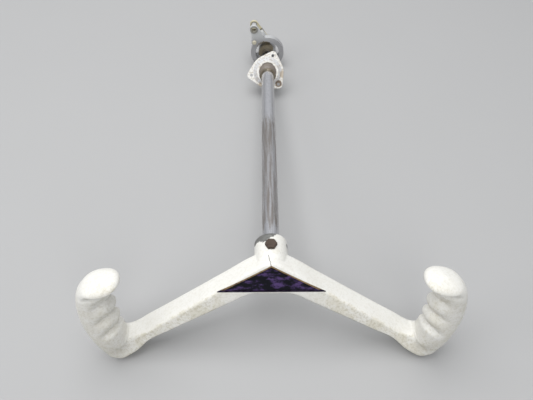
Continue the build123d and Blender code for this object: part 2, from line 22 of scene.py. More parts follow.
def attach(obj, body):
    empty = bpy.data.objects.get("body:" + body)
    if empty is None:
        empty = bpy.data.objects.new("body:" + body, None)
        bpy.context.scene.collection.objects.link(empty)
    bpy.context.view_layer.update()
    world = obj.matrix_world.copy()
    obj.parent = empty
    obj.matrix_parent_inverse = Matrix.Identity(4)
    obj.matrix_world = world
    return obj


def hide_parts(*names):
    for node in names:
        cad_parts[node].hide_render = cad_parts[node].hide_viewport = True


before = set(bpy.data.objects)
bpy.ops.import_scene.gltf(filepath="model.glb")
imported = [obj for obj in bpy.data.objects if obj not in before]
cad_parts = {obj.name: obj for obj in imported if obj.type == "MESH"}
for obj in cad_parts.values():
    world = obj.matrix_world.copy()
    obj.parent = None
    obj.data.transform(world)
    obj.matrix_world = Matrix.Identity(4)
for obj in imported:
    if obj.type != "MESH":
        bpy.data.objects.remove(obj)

LOG = logging.getLogger("control_yoke")
MM = 0.001
GRID_GAP = 1e-7
CUT_GAP = 1e-6

Array = np.ndarray
Colour = tuple[float, float, float]
Place = tuple[float, float, float]
Pair = tuple[float, float]
Socket = bpy.types.NodeSocket


class Wrap(Enum):
    """Whether a grid of points joins its last column to its first."""

    OPEN = "open"
    ROUND = "round"


class Cut(Enum):
    """How one closed shell acts on another."""

    JOIN = "UNION"
    REMOVE = "DIFFERENCE"


def smoothstep(low: float, high: float, value: Array) -> Array:
    """Eases from 0 at low to 1 at high: u * u * (3 - 2 u) with u the clipped share of the way.

    Args:
        low: Value where the step starts.
        high: Value where the step ends; may be below low.
        value: Values to ease.

    Returns:
        The eased values.
    """
    u = np.clip((value - low) / (high - low), 0.0, 1.0)
    return u * u * (3.0 - 2.0 * u)


def unit(vectors: Array) -> Array:
    """Vectors of length one in the same directions."""
    return vectors / np.linalg.norm(vectors, axis=-1, keepdims=True)


def smooth_run(knots: Array, values: Array, samples: Array) -> Array:
    """A cubic Hermite curve through values, whose slope at each knot comes from its neighbours.

    Args:
        knots: Rising places of the values along the run.
        values: One row of values for each knot.
        samples: Places to read.

    Returns:
        One row of values for each sample.
    """
    slopes = np.gradient(values, knots, axis=0)
    span = np.clip(np.searchsorted(knots, samples, side="right") - 1, 0, len(knots) - 2)
    length = (knots[span + 1] - knots[span])[:, None]
    u = (samples - knots[span])[:, None] / length
    start = (1 + 2 * u) * (1 - u) ** 2 * values[span] + u * (1 - u) ** 2 * length * slopes[span]
    end = u * u * (3 - 2 * u) * values[span + 1] + u * u * (u - 1) * length * slopes[span + 1]
    return start + end


def grid_quads(rows: int, columns: int, wrap: Wrap) -> Array:
    """Corner numbers of the quads between neighbouring points of a grid, row by row.

    Args:
        rows: Points along the first parameter.
        columns: Points along the second parameter.
        wrap: Whether the last column joins the first.

    Returns:
        One row of four corner numbers for each quad.
    """
    row = np.arange(rows - 1)[:, None] * columns
    column = np.arange(columns if wrap is Wrap.ROUND else columns - 1)[None, :]
    after = (column + 1) % columns
    corners = np.stack([row + column, row + after, row + columns + after, row + columns + column], axis=-1)
    return corners.reshape(-1, 4)


def shell(name: str, grid: Array, wrap: Wrap = Wrap.ROUND) -> bpy.types.Object:
    """A mesh object from a grid of points in millimetres, with its poles and seams welded shut.

    Args:
        name: Name of the object.
        grid: Points as rows, columns and three coordinates.
        wrap: Whether the grid closes round its second parameter.

    Returns:
        The new object, with its faces turned outwards.
    """
    rows, columns = grid.shape[:2]
    quads = grid_quads(rows, columns, wrap)
    mesh = bpy.data.meshes.new(name)
    mesh.vertices.add(rows * columns)
    mesh.vertices.foreach_set("co", (grid.reshape(-1, 3) * MM).ravel())
    mesh.loops.add(quads.size)
    mesh.loops.foreach_set("vertex_index", quads.ravel())
    mesh.polygons.add(len(quads))
    mesh.polygons.foreach_set("loop_start", np.arange(len(quads)) * 4)
    mesh.update(calc_edges=True)
    mesh.validate()
    weld(mesh, GRID_GAP)
    piece = bpy.data.objects.new(name, mesh)
    bpy.context.scene.collection.objects.link(piece)
    return piece


def weld(mesh: bpy.types.Mesh, gap: float) -> None:
    """Merges points that lie together and turns the faces outwards.

    Args:
        mesh: The mesh that changes.
        gap: Largest distance between such points, in metres.
    """
    work = bmesh.new()
    work.from_mesh(mesh)
    bmesh.ops.remove_doubles(work, verts=work.verts, dist=gap)
    bmesh.ops.dissolve_degenerate(work, edges=work.edges, dist=gap)
    bmesh.ops.recalc_face_normals(work, faces=work.faces)
    work.to_mesh(mesh)
    work.free()


def combine(piece: bpy.types.Object, other: bpy.types.Object, cut: Cut) -> None:
    """Joins another closed shell to a piece, or removes it, and deletes the other.

    Args:
        piece: The piece that changes.
        other: The shell that acts on it.
        cut: Whether it is joined or removed.
    """
    modifier = piece.modifiers.new("cut", "BOOLEAN")
    modifier.operation = cut.value
    modifier.solver = "EXACT"
    modifier.object = other
    graph = bpy.context.evaluated_depsgraph_get()
    result = bpy.data.meshes.new_from_object(piece.evaluated_get(graph))
    piece.modifiers.clear()
    old = piece.data
    piece.data = result
    bpy.data.meshes.remove(old)
    bpy.data.objects.remove(other)
    weld(result, CUT_GAP)


def smooth_faces(piece: bpy.types.Object, crease: float = 40.0) -> None:
    """Shades a piece smooth, with edges sharper than a crease angle kept crisp."""
    piece.data.shade_smooth()
    piece.data.set_sharp_from_angle(angle=np.radians(crease))


def rod_grid(radius: float, low: float, high: float, steps: int) -> Array:
    """A closed round rod along Z: a disc, a wall and a disc, with x = r cos a and y = r sin a.

    Args:
        radius: Radius in millimetres.
        low: Lower end.
        high: Upper end.
        steps: Points round the rod.

    Returns:
        A grid of points, with a pole at each end.
    """
    angle = np.linspace(0.0, 2.0 * np.pi, steps, endpoint=False)
    r = np.array([0.0, radius, radius, 0.0])[:, None]
    z = np.array([low, low, high, high])[:, None]
    return np.stack([r * np.cos(angle), r * np.sin(angle), z + 0.0 * angle], axis=-1)


def shade(colour: Colour, share: float) -> Colour:
    """A colour with its brightness multiplied."""
    return tuple(c * share for c in colour)


class NodeSheet:
    """Adds nodes to one tree and links them."""

    def __init__(self, tree: bpy.types.NodeTree) -> None:
        """Works on one node tree."""
        self.tree = tree

    def plug(self, socket: Socket, value: object) -> None:
        """Links an output to an input, or sets a plain value on it.

        Args:
            socket: The input.
            value: An output socket, or a value.
        """
        if isinstance(value, Socket):
            self.tree.links.new(value, socket)
        else:
            socket.default_value = value

    def add(
        self, kind: str, inputs: Mapping[str | int, object] | None = None, **settings: object
    ) -> bpy.types.Node:
        """Adds a node.

        Args:
            kind: Blender's name for the node type.
            inputs: A value or an output socket for each named or numbered input.
            **settings: Properties of the node.

        Returns:
            The new node.
        """
        node = self.tree.nodes.new(kind)
        for name, value in settings.items():
            setattr(node, name, value)
        for key, value in (inputs or {}).items():
            self.plug(node.inputs[key], value)
        return node

    def math(self, kind: str, a: object, b: object = 0.0, clamp: bool = False) -> Socket:
        """The output of a Math node of one kind."""
        return self.add("ShaderNodeMath", {0: a, 1: b}, operation=kind, use_clamp=clamp).outputs[0]

    def plus(self, a: object, b: object) -> Socket:
        """One value and another."""
        return self.math("ADD", a, b)

    def minus(self, a: object, b: object) -> Socket:
        """One value less another."""
        return self.math("SUBTRACT", a, b)

    def times(self, a: object, b: object) -> Socket:
        """One value times another."""
        return self.math("MULTIPLY", a, b)

    def most(self, a: object, b: object) -> Socket:
        """The larger of two values."""
        return self.math("MAXIMUM", a, b)

    def noise(self, vector: object, scale: object, detail: float = 4.0, rough: float = 0.6) -> Socket:
        """The value of a noise texture."""
        inputs = {"Vector": vector, "Scale": scale, "Detail": detail, "Roughness": rough}
        return self.add("ShaderNodeTexNoise", inputs).outputs[0]

    def step(self, value: object, low: object, high: object) -> Socket:
        """Eases a value from 0 at low to 1 at high."""
        inputs = {"Value": value, "From Min": low, "From Max": high}
        return self.add("ShaderNodeMapRange", inputs, interpolation_type="SMOOTHSTEP").outputs[0]

    def span(self, value: object, low: float, high: float) -> Socket:
        """A mask turned into a range of values."""
        return self.add("ShaderNodeMapRange", {"Value": value, "To Min": low, "To Max": high}).outputs[0]

    def blend(self, share: object, under: object, over: object) -> Socket:
        """One colour over another by a mask."""
        under, over = ((*colour, 1.0) if isinstance(colour, tuple) else colour for colour in (under, over))
        return self.add("ShaderNodeMix", {0: share, 6: under, 7: over}, data_type="RGBA").outputs[2]

    def stretch(self, vector: object, scale: Place, turn: Place = (0.0, 0.0, 0.0)) -> Socket:
        """Coordinates scaled, and turned by angles in radians."""
        return self.add("ShaderNodeMapping", {"Vector": vector, "Rotation": turn, "Scale": scale}).outputs[0]


class Effect(Enum):
    """Effects that several finishes share, each a node group with named inputs that puts out a mask."""

    SPECKS = "specks"
    PATCHES = "patches"
    STREAKS = "streaks"
    RAGGED_SPOT = "ragged_spot"


class EffectSheet(NodeSheet):
    """The nodes of one shared effect."""

    cover_gain = 0.4

    def __init__(self, effect: Effect) -> None:
        """Builds the effect's node group, from its sockets to its mask.

        Args:
            effect: Which effect.
        """
        super().__init__(bpy.data.node_groups.new(effect.value, "ShaderNodeTree"))
        is_spot = effect is Effect.RAGGED_SPOT
        for name in ("Vector", "Centre") if is_spot else ("Vector",):
            self.tree.interface.new_socket(name, in_out="INPUT", socket_type="NodeSocketVector")
        for name in ("Radius", "Ragged", "Scale") if is_spot else ("Scale", "Cover"):
            self.tree.interface.new_socket(name, in_out="INPUT", socket_type="NodeSocketFloat")
        self.tree.interface.new_socket("Mask", in_out="OUTPUT", socket_type="NodeSocketFloat")
        self.given = self.add("NodeGroupInput").outputs
        maker = {
            Effect.SPECKS: self.specks,
            Effect.PATCHES: self.patches,
            Effect.STREAKS: self.streaks,
            Effect.RAGGED_SPOT: self.ragged_spot,
        }[effect]
        self.add("NodeGroupOutput", {"Mask": maker()})

    def specks(self) -> Socket:
        """Small uneven dots: near a cell's centre, where a second noise lets them show.

        Returns:
            The mask.
        """
        vector, scale = self.given["Vector"], self.given["Scale"]
        cells = self.add("ShaderNodeTexVoronoi", {"Vector": vector, "Scale": scale, "Randomness": 1.0})
        wide = self.noise(vector, self.times(scale, 0.23), 3.0)
        size = self.times(self.minus(wide, self.minus(1.0, self.given["Cover"])), 1.2)
        return self.step(self.minus(size, cells.outputs["Distance"]), -0.06, 0.10)

    def patches(self) -> Socket:
        """Soft clouds broken up by a finer grain.

        Returns:
            The mask.
        """
        vector, scale = self.given["Vector"], self.given["Scale"]
        cloud = self.noise(vector, scale, 5.0, 0.62)
        grain = self.noise(vector, self.times(scale, 9.0), 3.0)
        both = self.plus(self.times(cloud, 0.8), self.times(grain, 0.2))
        return self.covered(both, 0.72, 0.16)

    def streaks(self) -> Socket:
        """Long marks along the shaft: noise whose coordinates are drawn out along Y.

        Returns:
            The mask.
        """
        drawn, scale = self.stretch(self.given["Vector"], (1.0, 0.035, 1.0)), self.given["Scale"]
        wide = self.noise(drawn, scale, 4.0, 0.55)
        fine = self.noise(drawn, self.times(scale, 6.0), 2.0)
        both = self.plus(self.times(wide, 0.7), self.times(fine, 0.3))
        return self.covered(both, 0.70, 0.20)

    def covered(self, height: Socket, bare: float, ease: float) -> Socket:
        """Where a height rises past a level, which falls as the cover grows."""
        level = self.minus(bare, self.times(self.given["Cover"], self.cover_gain))
        return self.step(height, level, self.plus(level, ease))

    def ragged_spot(self) -> Socket:
        """A blob round a place whose edge a noise pushes in and out.

        Returns:
            The mask.
        """
        vector, radius = self.given["Vector"], self.given["Radius"]
        inputs = {0: vector, 1: self.given["Centre"]}
        far = self.add("ShaderNodeVectorMath", inputs, operation="DISTANCE").outputs["Value"]
        edge = self.minus(self.noise(vector, self.given["Scale"], 5.0, 0.7), 0.5)
        reach = self.plus(radius, self.times(edge, self.given["Ragged"]))
        return self.step(self.math("DIVIDE", self.minus(reach, far), radius), -0.04, 0.06)


@cache
def effect_group(effect: Effect) -> bpy.types.NodeTree:
    """The node group of one effect, built when it is first asked for."""
    return EffectSheet(effect).tree


class FinishSheet(NodeSheet):
    """The nodes of one material, with its shader and the piece's own coordinates."""

    def __init__(self, name: str) -> None:
        """Starts a material with a plain shader.

        Args:
            name: Name of the material.
        """
        self.material = bpy.data.materials.new(name)
        self.material.use_nodes = True
        super().__init__(self.material.node_tree)
        self.shader = next(n for n in self.tree.nodes if n.type == "BSDF_PRINCIPLED")
        self.coords = self.add("ShaderNodeTexCoord").outputs["Object"]

    def axes(self) -> bpy.types.NodeOutputs:
        """The piece's own X, Y and Z, each by itself."""
        return self.add("ShaderNodeSeparateXYZ", {0: self.coords}).outputs

    def grain(self, scale: float, detail: float = 4.0, rough: float = 0.6) -> Socket:
        """The value of a noise over the piece's own coordinates."""
        return self.noise(self.coords, scale, detail, rough)

    def effect(self, effect: Effect, **inputs: object) -> Socket:
        """The mask of a shared effect, on the piece's own coordinates unless others are given."""
        inputs = {"Vector": self.coords} | inputs
        return self.add("ShaderNodeGroup", inputs, node_tree=effect_group(effect)).outputs["Mask"]

    def spots(self, spots: tuple[Spot, ...]) -> Socket:
        """The largest of several marks' masks."""
        return reduce(self.most, [spot.mask(self) for spot in spots])

    def feed(self, inputs: Mapping[str, object]) -> None:
        """Sets or links the shader's inputs."""
        for name, value in inputs.items():
            self.plug(self.shader.inputs[name], value)

    def bump(self, height: Socket, depth_mm: float, strength: float) -> None:
        """Feeds the shader's normal from a height of a given depth."""
        inputs = {"Height": height, "Distance": depth_mm * MM, "Strength": strength}
        self.feed({"Normal": self.add("ShaderNodeBump", inputs).outputs[0]})


@dataclass(frozen=True)
class Spot:
    """A mark on a surface, in millimetres, with the scale of the noise at its edge."""

    centre: Place
    radius: float
    ragged: float
    scale: float = 560.0

    def mask(self, sheet: FinishSheet) -> Socket:
        """The mark's mask in a material."""
        sizes = {"Radius": self.radius * MM, "Ragged": self.ragged * MM, "Scale": self.scale}
        return sheet.effect(Effect.RAGGED_SPOT, Centre=tuple(c * MM for c in self.centre), **sizes)


@dataclass(frozen=True)
class Finish:
    """A finish, whose kinds lay their own nodes on a sheet."""

    name: str

    def material(self) -> bpy.types.Material:
        """Builds the finish.

        Returns:
            The new material.
        """
        sheet = FinishSheet(self.name)
        self.lay(sheet)
        return sheet.material

    def lay(self, sheet: FinishSheet) -> None:
        """Lays the finish's nodes."""
        raise NotImplementedError

    def tint(self, sheet: FinishSheet, colour: Socket) -> Socket:
        """The colour with any marks of the part's own place, none on a plain part."""
        return colour


@dataclass(frozen=True)
class AgedEnamel(Finish):
    """White enamel on a casting: fine specks, yellow grime with any painted shade, and bare metal where it has
    chipped.
    """

    chips: tuple[Spot, ...]
    stains: tuple[Spot, ...]
    paint: Colour = (0.82, 0.81, 0.77)
    tone_scale: float = 36.0
    grime: Colour = (0.56, 0.51, 0.36)
    grime_scale: float = 70.0
    grime_cover: float = 0.75
    grime_strength: float = 0.42
    grime_and_shade_attribute: str = ""
    stain_strength: float = 0.45
    grit_scale: float = 430.0
    grit_strength: float = 0.55
    speck: Colour = (0.36, 0.34, 0.30)
    speck_scale: float = 620.0
    speck_cover: float = 0.50
    speck_strength: float = 0.45
    metal: Colour = (0.055, 0.055, 0.052)
    metal_scale: float = 330.0
    line: Colour = (0.05, 0.045, 0.04)
    roughness: Pair = (0.46, 0.66)
    relief: float = 0.16
    grain_scale: float = 950.0
    speck_depth: float = 0.35
    chip_depth: float = 1.1
    line_depth: float = 2.0

    def line_mark(self, sheet: FinishSheet) -> Socket | None:
        """A dark line in the paint, none on a plain casting."""
        return None

    def lay(self, sheet: FinishSheet) -> None:
        """Lays paint, grime, grit and specks over each other, then the chips and any line.

        Args:
            sheet: The material's nodes.
        """
        cloud = sheet.effect(Effect.PATCHES, Scale=self.grime_scale, Cover=self.grime_cover)
        grit = sheet.step(sheet.grain(self.grit_scale, rough=0.75), 0.46, 0.62)
        # The stored attribute scales grime and painted shade together.
        if self.grime_and_shade_attribute:
            area = sheet.add("ShaderNodeAttribute", attribute_name=self.grime_and_shade_attribute).outputs["Fac"]
            cloud = sheet.math("MULTIPLY", sheet.plus(cloud, 0.25), area, clamp=True)
            grit = sheet.times(grit, sheet.plus(sheet.times(area, 0.8), 0.2))
        dirt = sheet.most(cloud, sheet.times(sheet.spots(self.stains), self.stain_strength))
        specks = sheet.effect(Effect.SPECKS, Scale=self.speck_scale, Cover=self.speck_cover)
        tone = sheet.grain(self.tone_scale)
        colour = self.tint(sheet, sheet.blend(tone, self.paint, shade(self.paint, 0.94)))
        colour = sheet.blend(sheet.times(dirt, self.grime_strength), colour, self.grime)
        colour = sheet.blend(sheet.times(grit, self.grit_strength), colour, shade(self.grime, 0.78))
        colour = sheet.blend(sheet.times(specks, self.speck_strength), colour, self.speck)
        rough = sheet.plus(sheet.span(dirt, *self.roughness), sheet.times(specks, 0.08))
        chip = sheet.spots(self.chips)
        bare = sheet.blend(sheet.grain(self.metal_scale), self.metal, shade(self.metal, 4.0))
        colour = sheet.blend(chip, colour, bare)
        low = sheet.plus(sheet.times(specks, self.speck_depth), sheet.times(chip, self.chip_depth))
        line = self.line_mark(sheet)
        if line:
            colour = sheet.blend(line, colour, self.line)
            low = sheet.plus(low, sheet.times(line, self.line_depth))
        sheet.feed({"Base Color": colour, "Roughness": rough})
        grain = sheet.times(sheet.grain(self.grain_scale, 3.0), 0.5)
        sheet.bump(sheet.minus(grain, low), self.relief, 0.7)


@dataclass(frozen=True)
class CrackedEnamel(AgedEnamel):
    """Aged enamel with a crack that runs across the web's top, from the hub towards the badge."""

    crack_start: Pair = (-2.9, -322.0)
    crack_end: Pair = (0.0, -333.0)
    crack_half_width: float = 0.34
    crack_wander: float = 2.2
    crack_scale: float = 420.0
    crack_floor: Pair = (9.0, 11.0)

    def line_mark(self, sheet: FinishSheet) -> Socket:
        """Near a line whose X changes with Y, with a wander from a noise, on top and before its start.

        Args:
            sheet: The material's nodes.

        Returns:
            The crack's mask.
        """
        x, y, z = sheet.axes()
        start_x, start_y = self.crack_start
        end_x, end_y = self.crack_end
        inputs = {"Value": y, "From Min": start_y * MM, "From Max": end_y * MM}
        inputs |= {"To Min": start_x * MM, "To Max": end_x * MM}
        straight = sheet.add("ShaderNodeMapRange", inputs).outputs[0]
        noise = sheet.noise(sheet.stretch(sheet.coords, (0.0, 1.0, 0.0)), self.crack_scale, 2.0)
        middle = sheet.plus(straight, sheet.times(sheet.minus(noise, 0.5), self.crack_wander * MM))
        away = sheet.math("ABSOLUTE", sheet.minus(x, middle))
        near = sheet.step(away, self.crack_half_width * MM, 0.3 * self.crack_half_width * MM)
        before = sheet.step(y, start_y * MM, (start_y - 1.5) * MM)
        above = sheet.step(z, *(level * MM for level in self.crack_floor))
        return sheet.times(near, sheet.times(before, above))


@dataclass(frozen=True)
class FlangeEnamel(AgedEnamel):
    """Aged enamel on the leaning flange, with painted shade: a grey ring on the slope between the boss and the
    plate.
    """

    lean: float = 30.0
    slope: Pair = (14.2, 18.6)
    # Painted shade: the grey that the slope's ring takes.
    slope_painted_shade: Colour = (0.40, 0.42, 0.47)
    slope_shade_strength: float = 0.55

    def tint(self, sheet: FinishSheet, colour: Socket) -> Socket:
        """Paints shade as a grey ring, by the distance from the flange's own axis.

        Args:
            sheet: The material's nodes.
            colour: The paint's colour.

        Returns:
            The colour with its ring.
        """
        inner, outer = self.slope
        upright = sheet.stretch(sheet.coords, (1.0, 1.0, 1.0), (np.radians(self.lean), 0.0, 0.0))
        flat = sheet.stretch(upright, (1.0, 0.0, 1.0))
        far = sheet.add("ShaderNodeVectorMath", {0: flat}, operation="LENGTH").outputs["Value"]
        begins = sheet.step(far, (inner - 0.8) * MM, (inner + 0.4) * MM)
        ends = sheet.step(far, (outer + 1.0) * MM, (outer - 0.8) * MM)
        ring = sheet.times(sheet.times(begins, ends), self.slope_shade_strength)
        return sheet.blend(ring, colour, self.slope_painted_shade)


@dataclass(frozen=True)
class WornMetal(Finish):
    """Bare or plated metal with dirt or a darker worn layer over part of it, and dark spots that are grease on
    one part and painted shade on another.
    """

    colour: Colour
    dirt: Colour
    cover: float
    roughness: Pair
    metallic: float = 1.0
    effect: Effect = Effect.PATCHES
    scale: float = 120.0
    dirt_metal: float = 0.2
    relief: float = 0.05
    grain_scale: float = 1400.0
    # Spots laid in the grease colour: real grease on the crank's hub, painted shade in the gap on the far
    # cheek.
    grease_and_shade: tuple[Spot, ...] = ()
    grease_and_shade_colour: Colour = (0.125, 0.095, 0.040)
    grease_and_shade_strength: float = 0.85

    def soil(self, sheet: FinishSheet, dirt: Socket) -> Socket:
        """The dirt with any film of the part's own place, none on a plain part."""
        return dirt

    def lay(self, sheet: FinishSheet) -> None:
        """Lays dirt, spots of grease and spots of painted shade over an uneven tone of the metal, and dulls it
        under the dirt.

        Args:
            sheet: The material's nodes.
        """
        dirt = self.soil(sheet, sheet.effect(self.effect, Scale=self.scale, Cover=self.cover))
        colour = sheet.blend(sheet.grain(self.scale * 0.6), self.colour, shade(self.colour, 0.8))
        colour = self.tint(sheet, sheet.blend(dirt, colour, self.dirt))
        if self.grease_and_shade:
            smear_and_shade = sheet.times(sheet.spots(self.grease_and_shade), self.grease_and_shade_strength)
            colour = sheet.blend(smear_and_shade, colour, self.grease_and_shade_colour)
        sheet.feed({"Base Color": colour, "Roughness": sheet.span(dirt, *self.roughness)})
        if self.metallic:
            sheet.feed({"Metallic": sheet.span(dirt, self.metallic, self.metallic * self.dirt_metal)})
        height = sheet.plus(sheet.grain(self.grain_scale, 3.0), sheet.times(dirt, 0.8))
        sheet.bump(height, self.relief, 0.6)


@dataclass(frozen=True)
class BandedMetal(WornMetal):
    """Worn metal with another tone beyond a height, over a short fade."""

    level: float = 0.0
    fade: float = -1.0
    # The default band, a dark violet, is painted shade along the gilt rim's bottom edge.
    band: Colour = (0.03, 0.02, 0.045)

    def tint(self, sheet: FinishSheet, colour: Socket) -> Socket:
        """Tones the part beyond the level."""
        beyond = sheet.step(sheet.axes()[2], self.level * MM, (self.level + self.fade) * MM)
        return sheet.blend(beyond, colour, self.band)


@dataclass(frozen=True)
class FilmedMetal(WornMetal):
    """Polished metal with a dull film over part of its length along Y."""

    film: Pair = (0.0, 1.0)
    film_fade: float = 5.0
    film_scale: float = 420.0
    film_draw: Place = (1.0, 0.06, 1.0)
    ragged: float = 60.0
    strength: float = 0.85

    def soil(self, sheet: FinishSheet, dirt: Socket) -> Socket:
        """Lays the film between its two ends, which a drawn-out noise pushes to and fro.

        Args:
            sheet: The material's nodes.
            dirt: The mask of the dirt.

        Returns:
            The mask of dirt and film.
        """
        noise = sheet.noise(sheet.stretch(sheet.coords, self.film_draw), self.film_scale, 3.0)
        y = sheet.plus(sheet.axes()[1], sheet.times(sheet.minus(noise, 0.5), self.ragged * MM))
        low, high, fade = (length * MM for length in (*self.film, self.film_fade))
        laid = sheet.times(sheet.step(y, low - fade, low + fade), sheet.step(y, high + fade, high - fade))
        kept = sheet.times(dirt, sheet.span(laid, 0.3, 1.0))
        depth = sheet.span(sheet.step(noise, 0.36, 0.62), 0.2, self.strength)
        return sheet.most(kept, sheet.times(laid, depth))


@dataclass(frozen=True)
class DarkLacquer(Finish):
    """Glossy dark lacquer with a faint violet cloud and fine scuffs."""

    dark: Colour = (0.004, 0.004, 0.008)
    cloud: Colour = (0.085, 0.050, 0.155)
    cloud_scale: float = 230.0
    cloud_cover: float = 0.62
    cloud_draw: Place = (0.45, 1.0, 1.0)
    scuff: Colour = (0.12, 0.09, 0.11)
    scuff_scale: float = 900.0
    scuff_cover: float = 0.45
    scuff_strength: float = 0.35
    relief: float = 0.10
    relief_scale: float = 240.0
    roughness: Pair = (0.30, 0.46)
    gloss: float = 0.18

    def lay(self, sheet: FinishSheet) -> None:
        """Lays the cloud and the scuffs over the dark ground.

        Args:
            sheet: The material's nodes.
        """
        drawn = sheet.stretch(sheet.coords, self.cloud_draw)
        cloud = sheet.effect(Effect.PATCHES, Vector=drawn, Scale=self.cloud_scale, Cover=self.cloud_cover)
        scuffs = sheet.effect(Effect.SPECKS, Scale=self.scuff_scale, Cover=self.scuff_cover)
        colour = sheet.blend(cloud, self.dark, self.cloud)
        colour = sheet.blend(sheet.times(scuffs, self.scuff_strength), colour, self.scuff)
        rough = sheet.span(cloud, *self.roughness)
        sheet.feed({"Base Color": colour, "Roughness": rough, "Specular IOR Level": self.gloss})
        sheet.bump(sheet.grain(self.relief_scale, 3.0), self.relief, 0.5)


class Sections(NamedTuple):
    """Cross sections of the horn along its run, one row each, in millimetres.

    upper and lower are the two outline points, depth is half the depth, power is the superellipse's, ridge is
    the height in finger ridges, and groove and crease are shares of their full depth.
    """

    upper: Array
    lower: Array
    depth: Array
    hollow: Array
    power: Array
    ridge: Array
    groove: Array
    crease: Array
    fall: Array

    @classmethod
    def of(cls, rows: Array) -> Sections:
        """Reads the sections from rows of numbers."""
        return cls(rows[:, 0:3], rows[:, 3:6], *rows[:, 6:].T)


@dataclass
class YokeWheel:
    """The cast wheel: hub, two leaning arms that meet in a web, elbows, finger grips and hooked knobs."""

    reach: float = 327.0
    lean: float = 20.0
    arm_half_depth: float = 10.0
    arm_power: float = 8.0
    arm_sections: int = 6
    crest_top: float = 15.8
    crest_angle: float = 32.6
    crest_fall: float = 6.0
    crest_fall_on_axis: float = 4.5
    shoulder: Pair = (15.0, 10.6)
    arch: float = 19.9
    arch_half_width: float = 19.0
    belly_angle: float = 27.6
    splay: float = 5.4
    arm_end: float = 114.0
    arm_step: float = 1.5
    crotch: Pair = (129.0, -54.2)
    crotch_radius: float = 2.5
    crotch_crease: float = 2.0
    crease_side: Pair = (0.3, -0.7)
    crease_front: Pair = (0.3, -0.5)
    elbow_fan: tuple[Pair, ...] = ((-97.0, 23.4), (-69.0, 30.0), (-48.0, 29.6), (-24.0, 26.2))
    elbow_groove: tuple[float, ...] = (0.0, 0.25, 0.7, 1.0)
    elbow_crease: tuple[float, ...] = (0.5, 1.0, 0.4, 0.0)
    elbow_fall: tuple[float, ...] = (3.0, 1.0, 0.0, 0.0)
    elbow_depth_ease: float = 1.25
    elbow_power_ease: float = 1.4
    grip_lead: float = 31.0
    grip_inner: float = 131.25
    grip_outer: float = 163.8
    grip_bow: float = 2.6
    grip_bow_peak: float = 0.36
    grip_half_depth: float = 15.5
    grip_power: float = 2.3
    grip_step: float = 0.62
    finger_count: int = 3
    finger_pitch: float = 17.2
    finger_start: float = -22.5
    finger_slant: float = 11.0
    finger_lean: float = 20.0
    finger_fall: float = 14.0
    groove_depth: float = 4.4
    groove_side: Pair = (0.20, -0.60)
    neck_height: float = 14.0
    neck_half_depth: float = 13.6
    neck_notch: float = 1.5
    neck_set_back: float = 1.8
    knob_hook: float = 9.8
    knob_width: float = 33.0
    knob_rise: float = 12.0
    knob_half_depth: float = 14.5
    knob_hollow: float = 4.2
    hollow_side: Pair = (0.65, -0.20)
    hollow_front: Pair = (0.1, -0.5)
    knob_tilt: float = 6.0
    hook_shares: tuple[float, ...] = (0.08, 0.18, 0.30, 0.44, 0.58, 0.72, 0.82, 0.90, 0.96)
    dome_height: float = 4.2
    dome_power: float = 0.45
    dome_taper: float = 0.12
    dome_sizes: tuple[float, ...] = (
        1.0, 0.995, 0.98, 0.95, 0.91, 0.86, 0.80, 0.72, 0.63, 0.53, 0.42, 0.31, 0.20, 0.10, 0.03,
    )
    hub_radius: float = 15.0
    hub_length: float = 30.0
    hub_edge: float = 2.5
    hub_nose: float = 9.0
    hub_fillet: float = 2.0
    hub_flare_fade: Pair = (9.0, 2.0)
    bore_radius: float = 7.99
    bore_depth: float = 29.0
    bolt_back: float = 14.0
    bolt_seat: float = 14.0
    bolt_spot: float = 6.6
    badge_corners: tuple[Pair, ...] = ((0.0, 9.5), (-48.0, -17.4), (48.0, -17.4))
    badge_recess: float = 2.2
    cut_clearance: float = 5.0
    horn_columns: int = 112
    hub_columns: int = 128
    nose_rows: int = 24
    side_rows: int = 48
    edge_rows: int = 9
    bore_columns: int = 96
    spot_columns: int = 64
    grime_arm: Pair = (30.0, 60.0)
    grime_grip: Pair = (118.0, 150.0)
    grime_cap: Pair = (4.0, 16.0)
    enamel: CrackedEnamel = CrackedEnamel(
        "yoke_enamel",
        chips=(
            Spot((-14.0, -300.5, 5.5), 4.2, 4.0),
            Spot((-10.5, -299.5, 10.7), 5.0, 6.0),
            Spot((-6.2, -300.4, 13.4), 6.6, 8.0),
            Spot((0.2, -297.5, 14.9), 4.4, 6.0),
            Spot((14.4, -304.5, 4.0), 2.2, 2.5),
            Spot((-62.0, -346.0, -34.0), 0.9, 1.0),
        ),
        stains=(Spot((4.0, -317.5, 14.5), 4.0, 6.0), Spot((-4.0, -335.5, 8.0), 3.0, 4.0)),
        # The stored attribute holds grime, and painted shade on faces that look down.
        grime_and_shade_attribute="grime",
    )

    @property
    def arm_y(self) -> float:
        """Y of the arms' plane on the axis."""
        return -self.reach

    @property
    def grip_y(self) -> float:
        """Y of the grips' middle."""
        return self.arm_y - self.grip_lead

    @property
    def hub_rear(self) -> float:
        """Y of the hub's rear end."""
        return self.arm_y + self.hub_length

    @property
    def knob_tip(self) -> float:
        """X of the knob's hooked end."""
        return self.grip_inner - self.knob_hook

    @property
    def front(self) -> Array:
        """The direction that the arms' fronts face."""
        lean = np.radians(self.lean)
        return np.array([0.0, -np.cos(lean), np.sin(lean)])

    def arm_points(self, u: Array, v: Array) -> Array:
        """Points of the leaning plane: x = u, y = arm_y + v sin(lean), z = v cos(lean)."""
        lean = np.radians(self.lean)
        return np.stack([u, self.arm_y + v * np.sin(lean), v * np.cos(lean)], axis=-1)

    def ridges_at(self, z: Array) -> Array:
        """Height on the grip counted in finger ridges from the lowest one."""
        return (z - self.finger_start) / self.finger_pitch

